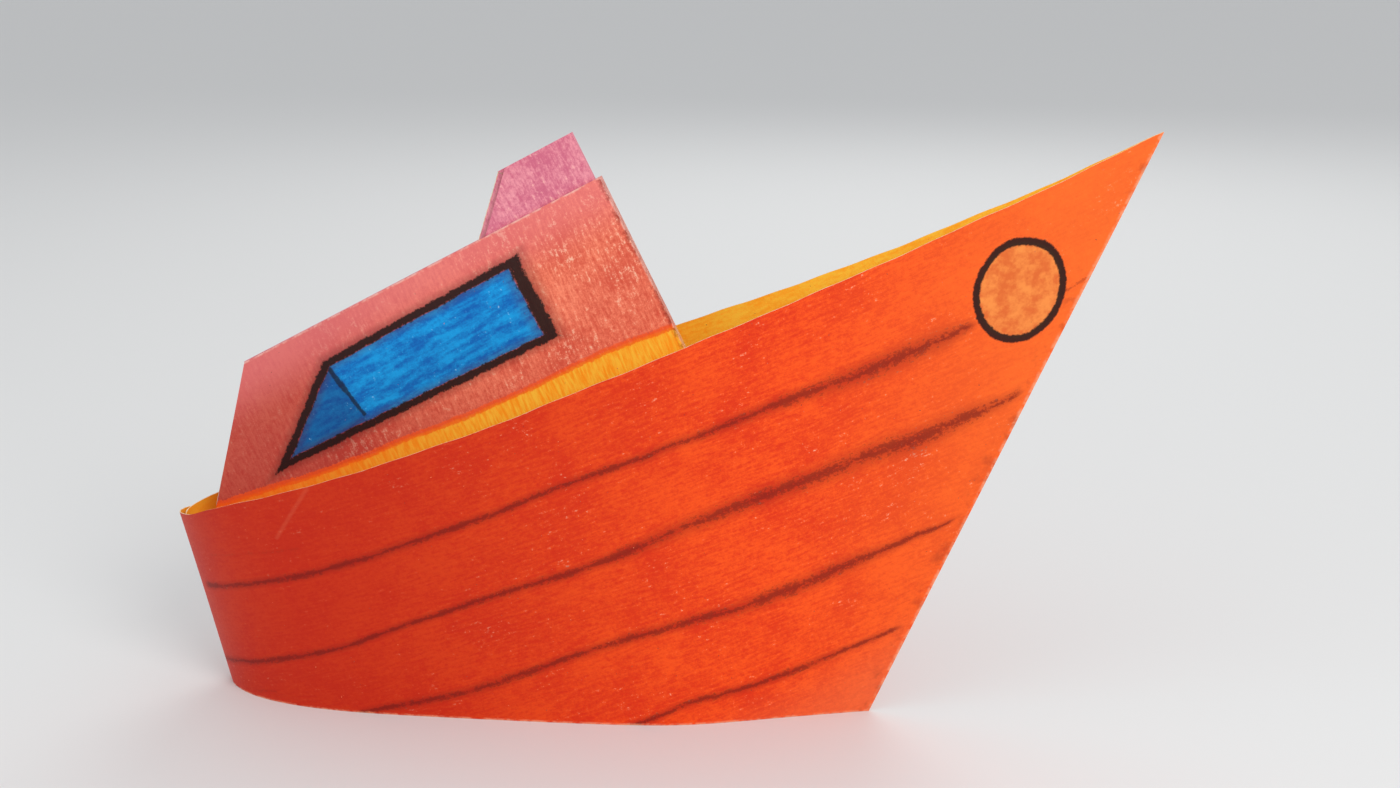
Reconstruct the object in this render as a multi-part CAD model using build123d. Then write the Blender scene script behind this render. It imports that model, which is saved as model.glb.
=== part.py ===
"""A boat folded from one square of drawing paper: hull cuffs, a gabled cabin and a funnel.

The sheet is one solid with its true thickness. Rows run across it: first the raw edge that makes
the rim, then each fold in turn, up to the last corner, which is tucked into the funnel. Every row
starts near the boat's middle plane and ends at the sheet's raw edge at the stern. Two skins, the
deck face and the hull face of the paper, are stretched from row to row and closed at the edges.

Axes: X runs to the bow, Y to port, Z up. Lengths are in millimetres.
"""
from build123d import *
import os
from math import cos, radians, sin, tan

# The sheet
PAPER = 0.28                 # thickness of the drawing paper
LAYER_GAP = 0.12             # air between two layers that are pressed together
FOLD_BORE = 0.15             # width of the crease inside a pressed fold

# Bow and hull
BOW_CREASE = 163.0           # from the bow's foot up to its tip
BOW_RAKE = 66.4              # degrees from level
KEEL_LENGTH = 170.8          # from the bow's foot to the stern, along the table
KEEL_HALF_BREADTH = 17.8
RIM_HALF_BREADTH = 26.3
STERN_HEIGHT = 47.5          # rim above the table at the stern
STERN_OVERHANG = 10.7        # how far the rim stands aft of the foot of the stern
STERN_LAP = 0.048            # share of each side's length that runs past the middle of the stern

# Cabin, pleat and funnel
CABIN_CREASE = 152.8         # from the bow's foot up to the roof, along the front crease
CABIN_RAKE = 63.8            # degrees from level
ROOF_LENGTH = 107.4
SHOULDER = 0.55              # share of the cabin's crease above which its sides are flat
EDGE_OVERRUN = 16.0          # aft of the stern's foot, where a flat side's raw edge would end
ROOF_SLOPE = 27.6            # degrees down towards the stern
CABIN_SPREAD = 0.9           # degrees that each side opens towards the stern
PLEAT_SPREAD = 0.6           # the same for the layers inside the cabin
PLEAT_DEPTH = 36.0           # how far the sheet is pushed down inside the cabin
PLEAT_MARGIN = 0.105         # air left in the middle of the pleat, beside its third layer
ROOF_HALF_WIDTH = ((3 * PAPER + 2 * LAYER_GAP + PLEAT_MARGIN)   # half the cabin's thickness in front
                   * CABIN_CREASE / (CABIN_CREASE - PLEAT_DEPTH))
FUNNEL_RISE = 12.6           # how far it comes up again above the roof
EDGE_ANGLE = 45.0            # between the sheet's raw edge and its diagonal
FRONT_SETBACK = 0.75         # from the front crease of one layer to that of the next inside it
STARBOARD_TUCK = 2.6         # how much shorter the starboard side of the cabin is
TIP_LENGTH = 0.6             # the blunt end of the corner tucked into the funnel

# The stern, where the port end slides into the fold of the starboard end
POCKET_START = 0.80          # share of each side's length where the pocket begins to open
POCKET_END = 0.90
END_GAP = 0.3                # air between the port end and the starboard end around it
POCKET_SLACK = 1.6           # extra width of the starboard fold inside the pocket
RIM_SLACK = 0.9              # extra room between the two ends at the rim

# Outlines from bow to stern, as shares of length, half breadth and height above the stern
KEEL_OUTLINE = [(0, 0), (0.14, 0.43), (0.27, 0.81), (0.39, 0.935), (0.53, 0.98),
                (0.67, 1), (0.81, 0.955), (0.905, 0.765), (0.975, 0.39), (1, 0)]
RIM_OUTLINE = [(0, 0, 1), (0.13, 0.106, 0.841), (0.242, 0.259, 0.715), (0.355, 0.468, 0.596),
               (0.468, 0.726, 0.484), (0.583, 0.909, 0.368), (0.712, 1, 0.247),
               (0.829, 0.966, 0.149), (0.926, 0.749, 0.072), (0.978, 0.38, 0.018), (1, 0, 0)]
STATIONS = 48                # points along each curved row

PORT = 1
STARBOARD = -1


def bow_tip():
    return Vector(BOW_CREASE * cos(radians(BOW_RAKE)), 0, BOW_CREASE * sin(radians(BOW_RAKE)))


def keel_points():
    """The bottom fold of the port side, from the bow's foot to the middle of the stern."""
    return [Vector(-KEEL_LENGTH * run, KEEL_HALF_BREADTH * half, 0) for run, half in KEEL_OUTLINE]


def rim_points():
    """The raw edge of the port side, from the bow's tip to the middle of the stern."""
    tip = bow_tip()
    length = tip.X + KEEL_LENGTH + STERN_OVERHANG
    rise = tip.Z - STERN_HEIGHT
    return [Vector(tip.X - length * run, RIM_HALF_BREADTH * half, STERN_HEIGHT + rise * height)
            for run, half, height in RIM_OUTLINE]


def stations(points):
    """Evenly spaced points and outward directions, on past the middle of the stern by the lap."""
    stern = points[-1]
    beyond = [Vector(p.X, -p.Y, 2 * stern.Z - p.Z) for p in reversed(points[-4:-1])]
    curve = Edge.make_spline([*points, *beyond])
    whole = curve.trim(0, curve.param_at_point(stern)).length / (1 - STERN_LAP)
    found = []
    for step in range(STATIONS + 1):
        distance = whole * step / STATIONS
        along = curve.tangent_at(distance, PositionMode.LENGTH)
        outward = Vector(along.Y, -along.X, 0).normalized()
        found.append((step / STATIONS, curve.position_at(distance, PositionMode.LENGTH), outward))
    return found


def pocket(share):
    """Go smoothly from 0 to 1 where the stern pocket opens."""
    step = min(max((share - POCKET_START) / (POCKET_END - POCKET_START), 0), 1)
    return step * step * (3 - 2 * step)


def end_inset(side, share, slack=0):
    """How far the port end is drawn in, to slide inside the starboard end."""
    return (PAPER + END_GAP + slack) * pocket(share) if side == PORT else 0


def rim_row(side, outwards):
    """The raw edge that makes the hull's rim."""
    row = [point + outward * (outwards - end_inset(side, share, RIM_SLACK))
           for share, point, outward in stations(rim_points())]
    row[0] = bow_tip() + Vector(outwards, outwards, 0)
    return row


def keel_row(side, outwards, height):
    """The hull's side of the bottom fold."""
    row = [point + outward * (outwards - end_inset(side, share))
           + Vector(0, 0, height + end_inset(side, share))
           for share, point, outward in stations(keel_points())]
    row[0] = Vector(outwards, outwards, height)
    return row


def fold_bore(side, share):
    """Width inside the bottom fold; the starboard fold opens at the stern to take the port end."""
    if side == PORT:
        return FOLD_BORE
    return FOLD_BORE + (2 * (PAPER + END_GAP) + POCKET_SLACK) * pocket(share)


def panel_foot_row(side, inwards, height):
    """The cabin panel's side of the bottom fold, which starts on the middle plane."""
    row = [point - outward * (inwards + fold_bore(side, share) + end_inset(side, share))
           + Vector(0, 0, height + end_inset(side, share))
           for share, point, outward in stations(keel_points())]
    first, second = row[2], row[4]
    slope = (second.Y - first.Y) / (second.X - first.X)
    start = Vector(first.X - first.Y / slope, 0, height)
    return [start, start + (first - start) * 0.5] + row[2:]


def tuck(side):
    return STARBOARD_TUCK if side == STARBOARD else 0


def shoulder_row(side, foot, roof):
    """A straight row of the cabin's side at the rim's level, between its foot and roof rows."""
    run = KEEL_LENGTH + EDGE_OVERRUN - tuck(side)
    edge = Vector(-run, roof[0].Y - ROOF_HALF_WIDTH + run * tan(radians(CABIN_SPREAD)), 0)
    return [foot[0] + (roof[0] - foot[0]) * SHOULDER, edge + (roof[1] - edge) * SHOULDER]


def panel_row(side, climb, travel, layer, inner):
    """A straight row of a layer in the cabin or funnel.

    climb is the height along the front crease and travel the length of paper since the roof fold.
    Layers count inwards from the cabin's side, and inner says which face of the layer it is.
    """
    inwards = layer * (PAPER + LAYER_GAP) + inner * PAPER
    front = layer * FRONT_SETBACK + inner * PAPER
    roof = ROOF_LENGTH - tuck(side)
    aft = max(roof - travel * tan(radians(EDGE_ANGLE)), front + TIP_LENGTH)
    half_width = ROOF_HALF_WIDTH * climb / CABIN_CREASE - inwards
    spread = tan(radians(PLEAT_SPREAD if layer else CABIN_SPREAD))
    up = Vector(-cos(radians(CABIN_RAKE)), 0, sin(radians(CABIN_RAKE)))
    back = Vector(-cos(radians(ROOF_SLOPE)), 0, -sin(radians(ROOF_SLOPE)))
    return [up * climb + back * reach + Vector(0, half_width + reach * spread, 0)
            for reach in (front, aft)]


def skins(side):
    """The rows of the deck face and of the hull face, in step with each other."""
    roof = CABIN_CREASE
    pleat = CABIN_CREASE - PLEAT_DEPTH
    top = CABIN_CREASE + FUNNEL_RISE
    at_pleat = PLEAT_DEPTH
    at_top = 2 * PLEAT_DEPTH + FUNNEL_RISE
    corner = (ROOF_LENGTH - at_top * tan(radians(EDGE_ANGLE))) - 3 * FRONT_SETBACK - PAPER
    tip = top - corner
    at_tip = at_top + corner
    deck = [
        rim_row(side, 0), keel_row(side, 0, PAPER), panel_foot_row(side, 0, PAPER),
        panel_row(side, roof, 0, 0, False), panel_row(side, roof, 0, 1, True),
        panel_row(side, pleat + PAPER, at_pleat, 1, True),
        panel_row(side, pleat + PAPER, at_pleat, 2, False),
        panel_row(side, top, at_top, 2, False), panel_row(side, top, at_top, 3, True),
        panel_row(side, tip, at_tip, 3, True),
    ]
    hull = [
        rim_row(side, PAPER), keel_row(side, PAPER, 0), panel_foot_row(side, PAPER, 0),
        panel_row(side, roof - PAPER, 0, 0, True), panel_row(side, roof - PAPER, 0, 1, False),
        panel_row(side, pleat, at_pleat, 1, False), panel_row(side, pleat, at_pleat, 2, True),
        panel_row(side, top - PAPER, at_top, 2, True), panel_row(side, top - PAPER, at_top, 3, False),
        panel_row(side, tip, at_tip, 3, False),
    ]
    for rows in (deck, hull):
        rows.insert(3, shoulder_row(side, rows[2], rows[3]))
    return [[[Vector(p.X, side * p.Y, p.Z) for p in row] for row in rows] for rows in (deck, hull)]


def curve(row):
    return Edge.make_line(*row) if len(row) == 2 else Edge.make_spline(row)


def strip(one, two):
    """The face between two rows: flat where both lie on the table, ruled elsewhere."""
    if any(point.Z > 0 for point in one + two):
        return Face.make_surface_from_curves(curve(one), curve(two))
    ends = [Edge.make_line(one[i], two[i]) for i in (0, -1)]
    return Face(Wire([curve(one), ends[1], curve(two), ends[0]]))


def strips(rows):
    return [strip(one, two) for one, two in zip(rows, rows[1:])]


def patch(corners):
    """A flat or gently twisted face on three or four corners; corners that coincide count once."""
    distinct = [c for i, c in enumerate(corners) if (c - corners[i - 1]).length > 1e-6]
    if len(distinct) < 3:
        return []
    if len(distinct) == 3:
        return [Face(Wire.make_polygon(distinct))]
    return [Face.make_surface_from_curves(Edge.make_line(distinct[0], distinct[1]),
                                           Edge.make_line(distinct[3], distinct[2]))]


def front_faces(port_rows, starboard_rows):
    """Faces that join the two sides of a skin along the creases in the middle plane."""
    faces = []
    for i in range(len(port_rows) - 1):
        faces += patch([port_rows[i][0], port_rows[i + 1][0],
                        starboard_rows[i + 1][0], starboard_rows[i][0]])
    return faces


def edge_faces(deck_rows, hull_rows):
    """The cut edge of the paper at the stern end of every row."""
    faces = []
    for i in range(len(deck_rows) - 1):
        faces += patch([deck_rows[i][-1], deck_rows[i + 1][-1], hull_rows[i + 1][-1], hull_rows[i][-1]])
    return faces


def folded_sheet():
    port_deck, port_hull = skins(PORT)
    starboard_deck, starboard_hull = skins(STARBOARD)
    faces = front_faces(port_deck, starboard_deck) + front_faces(port_hull, starboard_hull)
    for deck, hull in ((port_deck, port_hull), (starboard_deck, starboard_hull)):
        faces += strips(deck) + strips(hull) + edge_faces(deck, hull)
        faces += strips([deck[0], hull[0]]) + strips([deck[-1], hull[-1]])
    for end in (0, -1):
        faces += patch([port_deck[end][0], port_hull[end][0],
                        starboard_hull[end][0], starboard_deck[end][0]])
    return Solid(Shell(faces))


def main():
    sheet = folded_sheet()
    box = sheet.bounding_box()
    sheet = sheet.moved(Location((-box.center().X, -box.center().Y, -box.min.Z)))
    os.makedirs("parts", exist_ok=True)
    export_step(sheet, "parts/folded_sheet.step")


main()
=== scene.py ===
# %% [markdown]
# # A boat folded from one sheet
#
# The real boat is a single square of drawing paper. Its colours are oil pastel, rubbed on before
# and after it was folded. This lesson loads the packed model as a fixed frame, makes the sheet
# again as a finer mesh in the same place, and spends most of its effort on the pastel.

# %% Load the packed model
from math import cos, hypot, radians, sin, tan

import bmesh
import bpy
import numpy as np
from mathutils import Matrix, Vector


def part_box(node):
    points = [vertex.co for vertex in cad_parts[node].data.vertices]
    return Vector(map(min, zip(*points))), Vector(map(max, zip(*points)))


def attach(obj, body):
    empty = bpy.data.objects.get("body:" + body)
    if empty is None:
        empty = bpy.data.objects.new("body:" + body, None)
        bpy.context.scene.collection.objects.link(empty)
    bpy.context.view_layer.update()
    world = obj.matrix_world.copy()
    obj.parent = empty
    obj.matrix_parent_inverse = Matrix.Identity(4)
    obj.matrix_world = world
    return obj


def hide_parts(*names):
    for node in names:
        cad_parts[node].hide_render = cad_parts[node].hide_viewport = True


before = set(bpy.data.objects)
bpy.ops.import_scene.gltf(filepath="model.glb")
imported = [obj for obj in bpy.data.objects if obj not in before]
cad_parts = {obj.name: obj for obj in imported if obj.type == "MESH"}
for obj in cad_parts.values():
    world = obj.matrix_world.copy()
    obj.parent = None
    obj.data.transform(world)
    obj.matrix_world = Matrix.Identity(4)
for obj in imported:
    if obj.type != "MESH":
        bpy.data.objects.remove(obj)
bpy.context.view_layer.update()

sheet_low, sheet_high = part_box("folded_sheet")
print("sheet box, mm:", [round(1000 * v, 1) for v in (*sheet_low, *sheet_high)])

# %% [markdown]
# ## The sizes of the sheet
#
# Rows run across the sheet: the raw edge that makes the rim, then each fold, up to the corner
# that is tucked into the funnel. The sizes below are those of the CAD part, in millimetres.
# Only the place of the bow's foot is read from the packed model.

# %% Sizes
MM = 0.001
PAPER = 0.28                 # thickness of the drawing paper
LAYER_GAP = 0.12             # air between two pressed layers
FOLD_BORE = 0.15             # width of the crease inside a pressed fold
BOW_CREASE = 163.0           # length of the crease at the bow
BOW_RAKE = radians(66.4)     # its angle above the table
KEEL_LENGTH = 170.8          # from the bow's foot to the stern's
KEEL_HALF_BREADTH = 17.8
RIM_HALF_BREADTH = 26.3
STERN_HEIGHT = 47.5
STERN_OVERHANG = 10.7        # how far the stern's rim stands aft of its foot
STERN_LAP = 0.048            # share of each side that runs past the middle of the stern
CABIN_CREASE = 152.8         # length of the crease in front of the cabin
CABIN_RAKE = radians(63.8)
ROOF_LENGTH = 107.4
SHOULDER = 0.55              # share of the cabin's crease above which its sides are flat
EDGE_OVERRUN = 16.0          # aft of the stern's foot, where a flat side's raw edge would end
ROOF_SLOPE = radians(27.6)
CABIN_SPREAD = radians(0.9)
PLEAT_SPREAD = radians(0.6)
PLEAT_DEPTH = 36.0           # how far the sheet is pushed down inside the cabin
PLEAT_MARGIN = 0.105         # air left in the middle of the pleat
FUNNEL_RISE = 12.6           # how far it comes up again above the roof
EDGE_ANGLE = radians(45)
FRONT_SETBACK = 0.75         # from one layer's front crease to the next one's
STARBOARD_TUCK = 2.6         # how much shorter the starboard side of the cabin is
TIP_LENGTH = 0.6             # the blunt end of the corner tucked into the funnel
POCKET_START = 0.80          # where the starboard end begins to open, to take the port end
POCKET_END = 0.90
END_GAP = 0.3                # air between the two ends
POCKET_SLACK = 1.6           # extra room in the opened fold
RIM_SLACK = 0.9              # extra draw-in of the port end at the rim
ROOF_HALF_WIDTH = ((3 * PAPER + 2 * LAYER_GAP + PLEAT_MARGIN)
                   * CABIN_CREASE / (CABIN_CREASE - PLEAT_DEPTH))

# Outlines from bow to stern: shares of length, half breadth and, for the rim, height
KEEL_OUTLINE = [(0, 0), (0.14, 0.43), (0.27, 0.81), (0.39, 0.935), (0.53, 0.98),
                (0.67, 1), (0.81, 0.955), (0.905, 0.765), (0.975, 0.39), (1, 0)]
RIM_OUTLINE = [(0, 0, 1), (0.13, 0.106, 0.841), (0.242, 0.259, 0.715), (0.355, 0.468, 0.596),
               (0.468, 0.726, 0.484), (0.583, 0.909, 0.368), (0.712, 1, 0.247),
               (0.829, 0.966, 0.149), (0.926, 0.749, 0.072), (0.978, 0.38, 0.018), (1, 0, 0)]

PORT, STARBOARD = 1, -1
STATIONS = 160               # steps along each row
FINE_STATIONS = 12001        # places read along a curve before they are spaced evenly
STRAIGHT_START = STATIONS // 24   # steps that run straight at the bow's fold
SHARES = np.linspace(0, 1, STATIONS + 1)
BOW_TIP = np.array([BOW_CREASE * cos(BOW_RAKE), 0, BOW_CREASE * sin(BOW_RAKE)])
BOW_FOOT = Vector((sheet_high.x - (BOW_TIP[0] + PAPER) * MM, (sheet_low.y + sheet_high.y) / 2, 0))
print("foot of the bow, mm:", [round(v / MM, 2) for v in BOW_FOOT])

# %% [markdown]
# ## Curved rows
#
# The rim and the bottom fold are smooth curves through a few chosen points. A natural cubic
# spline gives them: it bends as little as a springy strip of wood would, and paper bends the
# same way. Its stations are spaced evenly along its length, as fibres in the sheet are.


# %% A spline and its evenly spaced stations
def spline(knots, points, at):
    """Read the natural cubic spline through the points at the given places."""
    gaps = np.diff(knots)
    slopes = np.diff(points, axis=0) / gaps[:, None]
    system, right = np.eye(len(knots)), np.zeros_like(points)
    for i in range(1, len(knots) - 1):
        system[i, i - 1:i + 2] = gaps[i - 1], 2 * (gaps[i - 1] + gaps[i]), gaps[i]
        right[i] = 6 * (slopes[i] - slopes[i - 1])
    bend = np.linalg.solve(system, right)
    i = np.clip(np.searchsorted(knots, at) - 1, 0, len(gaps) - 1)
    gap, left, rest = gaps[i][:, None], (knots[i + 1] - at)[:, None], (at - knots[i])[:, None]
    return ((bend[i] * left ** 3 + bend[i + 1] * rest ** 3) / (6 * gap)
            + (points[i] / gap - bend[i] * gap / 6) * left
            + (points[i + 1] / gap - bend[i + 1] * gap / 6) * rest)


def stations(points):
    """Evenly spaced points and outward directions, on past the middle of the stern by the lap."""
    points = np.array(points, float)
    beyond = points[-2:-5:-1] * [1, -1, -1] + [0, 0, 2 * points[-1][2]]
    knots_at = np.vstack([points, beyond])
    knots = np.r_[0, np.cumsum(np.linalg.norm(np.diff(knots_at, axis=0), axis=1))]
    fine = np.linspace(0, knots[-1], FINE_STATIONS)
    line = spline(knots, knots_at, fine)
    length = np.r_[0, np.cumsum(np.linalg.norm(np.diff(line, axis=0), axis=1))]
    whole = np.interp(knots[len(points) - 1], fine, length) / (1 - STERN_LAP)
    found = np.column_stack([np.interp(SHARES * whole, length, axis) for axis in line.T])
    heading = np.gradient(line, axis=0)
    along = np.column_stack([np.interp(SHARES * whole, length, axis) for axis in heading.T])
    outward = np.column_stack([along[:, 1], -along[:, 0], 0 * SHARES])
    return found, outward / np.linalg.norm(outward, axis=1)[:, None], whole


rim_run = BOW_TIP[0] + KEEL_LENGTH + STERN_OVERHANG
RIM, RIM_OUTWARD, RIM_PAPER = stations(
    [(BOW_TIP[0] - rim_run * run, RIM_HALF_BREADTH * half,
      STERN_HEIGHT + (BOW_TIP[2] - STERN_HEIGHT) * height) for run, half, height in RIM_OUTLINE])
KEEL, KEEL_OUTWARD, KEEL_PAPER = stations(
    [(-KEEL_LENGTH * run, KEEL_HALF_BREADTH * half, 0) for run, half in KEEL_OUTLINE])
print(f"paper along the rim {RIM_PAPER:.1f} mm, along the bottom fold {KEEL_PAPER:.1f} mm")

# %% [markdown]
# ## All rows of one side
#
# At the stern the port end slides into the fold of the starboard end, so there the starboard
# fold opens and the port rows draw in. The layers in the cabin have straight rows, because
# those folds were pressed flat on a table. Each row exists twice, on the two faces of the paper:
# the deck face, which shows inside the hull, and the hull face.


# %% How the stern ends slide together
def pocket():
    """Go smoothly from 0 to 1 where the stern pocket opens."""
    step = np.clip((SHARES - POCKET_START) / (POCKET_END - POCKET_START), 0, 1)
    return step * step * (3 - 2 * step)


def end_inset(side, slack=0):
    return (PAPER + END_GAP + slack) * pocket() if side == PORT else 0 * SHARES


print("port end drawn in by, mm:", round(float(end_inset(PORT)[-1]), 2))


# %% Curved rows: the rim and the two faces of the bottom fold
def scissor_wander():
    """How far the hand-cut rim strays from its line."""
    return 0.16 * np.sin(44 * SHARES + 0.6) * np.sin(9 * SHARES) + 0.07 * np.sin(131 * SHARES)


def rim_row(side, outwards):
    row = RIM + RIM_OUTWARD * (outwards - end_inset(side, RIM_SLACK))[:, None]
    row[:, 2] += scissor_wander()
    row[0] = BOW_TIP + [outwards, outwards, 0]
    return row


def keel_row(side, outwards, height):
    row = KEEL + KEEL_OUTWARD * (outwards - end_inset(side))[:, None]
    row[:, 2] += height + end_inset(side)
    row[0] = outwards, outwards, height
    return row


def panel_foot_row(side, inwards, height):
    """The cabin panel's side of the bottom fold, which starts on the middle plane."""
    bore = FOLD_BORE + 0 * SHARES
    if side == STARBOARD:
        bore += (2 * (PAPER + END_GAP) + POCKET_SLACK) * pocket()
    row = KEEL - KEEL_OUTWARD * (inwards + bore + end_inset(side))[:, None]
    row[:, 2] += height + end_inset(side)
    first = STRAIGHT_START
    slope = (row[2 * first, 1] - row[first, 1]) / (row[2 * first, 0] - row[first, 0])
    start = np.array([row[first, 0] - row[first, 1] / slope, 0, height])
    row[:first] = start + (row[first] - start) * np.arange(first)[:, None] / first
    return row


print("curved rows ready, places in each:", len(rim_row(PORT, 0)))


# %% Straight rows: the cabin and the funnel
def tuck(side):
    return STARBOARD_TUCK if side == STARBOARD else 0


def shoulder_row(side, foot, roof):
    """A straight row of the cabin's side at the rim's level; above it the side is flat."""
    run = KEEL_LENGTH + EDGE_OVERRUN - tuck(side)
    edge = np.array([-run, roof[0, 1] - ROOF_HALF_WIDTH + run * tan(CABIN_SPREAD), 0])
    fore = foot[0] + (roof[0] - foot[0]) * SHOULDER
    aft = edge + (roof[-1] - edge) * SHOULDER
    return np.outer(1 - SHARES, fore) + np.outer(SHARES, aft)


def panel_row(side, climb, travel, layer, inner):
    """A straight row of a layer in the cabin or funnel; layers count inwards."""
    inwards = layer * (PAPER + LAYER_GAP) + inner * PAPER
    front = layer * FRONT_SETBACK + inner * PAPER
    roof = ROOF_LENGTH - tuck(side)
    aft = max(roof - travel * tan(EDGE_ANGLE), front + TIP_LENGTH)
    reach = front + (aft - front) * SHARES
    spread = tan(PLEAT_SPREAD if layer else CABIN_SPREAD)
    half_width = ROOF_HALF_WIDTH * climb / CABIN_CREASE - inwards + reach * spread
    return np.column_stack([-cos(CABIN_RAKE) * climb - cos(ROOF_SLOPE) * reach, half_width,
                            sin(CABIN_RAKE) * climb - sin(ROOF_SLOPE) * reach])


print(f"the cabin is {2 * ROOF_HALF_WIDTH:.2f} mm thick at the front of its roof")


# %% All rows in order
def skins(side):
    """The rows of the deck face and of the hull face, in step with each other."""
    roof, pleat, top = CABIN_CREASE, CABIN_CREASE - PLEAT_DEPTH, CABIN_CREASE + FUNNEL_RISE
    at_pleat, at_top = PLEAT_DEPTH, 2 * PLEAT_DEPTH + FUNNEL_RISE
    corner = ROOF_LENGTH - at_top * tan(EDGE_ANGLE) - 3 * FRONT_SETBACK - PAPER
    tip, at_tip = top - corner, at_top + corner
    deck = [
        rim_row(side, 0), keel_row(side, 0, PAPER), panel_foot_row(side, 0, PAPER),
        panel_row(side, roof, 0, 0, 0), panel_row(side, roof, 0, 1, 1),
        panel_row(side, pleat + PAPER, at_pleat, 1, 1),
        panel_row(side, pleat + PAPER, at_pleat, 2, 0),
        panel_row(side, top, at_top, 2, 0), panel_row(side, top, at_top, 3, 1),
        panel_row(side, tip, at_tip, 3, 1)]
    hull = [
        rim_row(side, PAPER), keel_row(side, PAPER, 0), panel_foot_row(side, PAPER, 0),
        panel_row(side, roof - PAPER, 0, 0, 1), panel_row(side, roof - PAPER, 0, 1, 0),
        panel_row(side, pleat, at_pleat, 1, 0), panel_row(side, pleat, at_pleat, 2, 1),
        panel_row(side, top - PAPER, at_top, 2, 1), panel_row(side, top - PAPER, at_top, 3, 0),
        panel_row(side, tip, at_tip, 3, 0)]
    for rows in (deck, hull):
        rows.insert(3, shoulder_row(side, rows[2], rows[3]))
    return [row * [1, side, 1] for row in deck], [row * [1, side, 1] for row in hull]


ROWS = {side: skins(side) for side in (PORT, STARBOARD)}
print("rows on each face of each side:", len(ROWS[PORT][0]))

# %% [markdown]
# ## Where the pastel goes
#
# Marks on real paper are drawn on a flat sheet or on a side that lies nearly flat. A pattern
# on the object's own place would be squeezed where the hull turns away round the stern. So every
# face corner carries the place that it has on the paper, in millimetres, as an attribute named
# `flat`. A line drawn in that plane stays straight on the paper while the hull bends. X runs
# aft to fore along the bottom fold, Y up the side, and Z tells port from starboard.

# %% Flat places of each strip of paper
RIM_FORE = BOW_TIP[[0, 2]]
RIM_AFT = np.array([-209.3, 46.4])          # the sheet's corner at the stern end of the rim
ROOF_FORE = CABIN_CREASE * np.array([-cos(CABIN_RAKE), sin(CABIN_RAKE)])
ROOF_AFT = ROOF_FORE - ROOF_LENGTH * np.array([cos(ROOF_SLOPE), sin(ROOF_SLOPE)])
SIDE_SHIFT = 40.0


def flat_rows(side):
    """The flat place of each row; the cabin's own rows already lie in a flat side."""
    rim = np.outer(1 - SHARES, RIM_FORE) + np.outer(SHARES, RIM_AFT)
    keel = np.outer(SHARES, (-KEEL_PAPER, 0))
    return [rim, keel, keel, *(row[:, [0, 2]] for row in ROWS[side][0][3:])]


FLAT_ROWS = {side: flat_rows(side) for side in (PORT, STARBOARD)}
print("flat length of the rim, mm:", round(float(np.linalg.norm(RIM_FORE - RIM_AFT)), 1))

# %% [markdown]
# ## From rows to a closed sheet
#
# Each strip between two rows is a small grid of quads. The grids are made separately and their
# shared edges are merged afterwards, which leaves one closed shell. Then the normals can be
# recalculated with confidence: on a closed shell there is only one way out.

# %% What covers each strip
ORANGE, YELLOW, ROSE, PLUM, BARE, CUT = range(6)         # places in the sheet's materials
STRIP_CUTS = [40, 2, 16, 24, 1, 8, 1, 12, 1, 4]          # grid steps across each strip
DECK_FINISH = [YELLOW] * 2 + [ROSE] * 3 + [PLUM] * 5
HULL_FINISH = [ORANGE] * 2 + [BARE] * 5 + [PLUM] * 3
print("strips from the rim to the funnel's tip:", len(STRIP_CUTS))


# %% A mesh that grows grid by grid
class SheetMesh:
    """Collects grids of quads with their flat places and finishes."""

    def __init__(self):
        self.points, self.flats, self.faces, self.finishes, self.count = [], [], [], [], 0

    def grid(self, points, flats, finish):
        """Add a grid; points is rows by columns by three, in millimetres."""
        tall, wide = points.shape[:2]
        number = self.count + np.arange(tall * wide).reshape(tall, wide)
        quads = np.stack([number[:-1, :-1], number[:-1, 1:], number[1:, 1:], number[1:, :-1]], -1)
        self.points.append(points.reshape(-1, 3))
        self.flats.append(np.broadcast_to(flats, points.shape).reshape(-1, 3))
        self.faces.append(quads.reshape(-1, 4))
        self.finishes += [finish] * len(self.faces[-1])
        self.count += tall * wide


def blend_rows(one, two, cuts):
    """Rows in between, from one to two."""
    step = np.linspace(0, 1, cuts + 1)[:, None, None]
    return one * (1 - step) + two * step


def with_side(flat, side):
    return np.concatenate([flat, np.full((*flat.shape[:-1], 1), side * SIDE_SHIFT)], -1)


sheet = SheetMesh()
print("empty sheet mesh, corners:", sheet.count)

# %% The two faces of the paper
borders = {}
for side in (PORT, STARBOARD):
    for skin, finishes in enumerate((DECK_FINISH, HULL_FINISH)):
        rows = ROWS[side][skin]
        for i, cuts in enumerate(STRIP_CUTS):
            points = blend_rows(rows[i], rows[i + 1], cuts)
            flats = with_side(blend_rows(FLAT_ROWS[side][i], FLAT_ROWS[side][i + 1], cuts), side)
            sheet.grid(points, flats, finishes[i])
            borders[side, skin, i] = points, flats
print("grids on the two faces:", len(borders))

# %% [markdown]
# ## Closing the sheet
#
# Port and starboard meet in creases on the middle plane, and the paper's cut edges run along
# the rim, round the stern ends and over the funnel's tip. Each is one more narrow grid between
# rows that are already there. A Solidify modifier could thicken a single skin instead, but at
# the pressed folds it would push the layers into each other.

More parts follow.
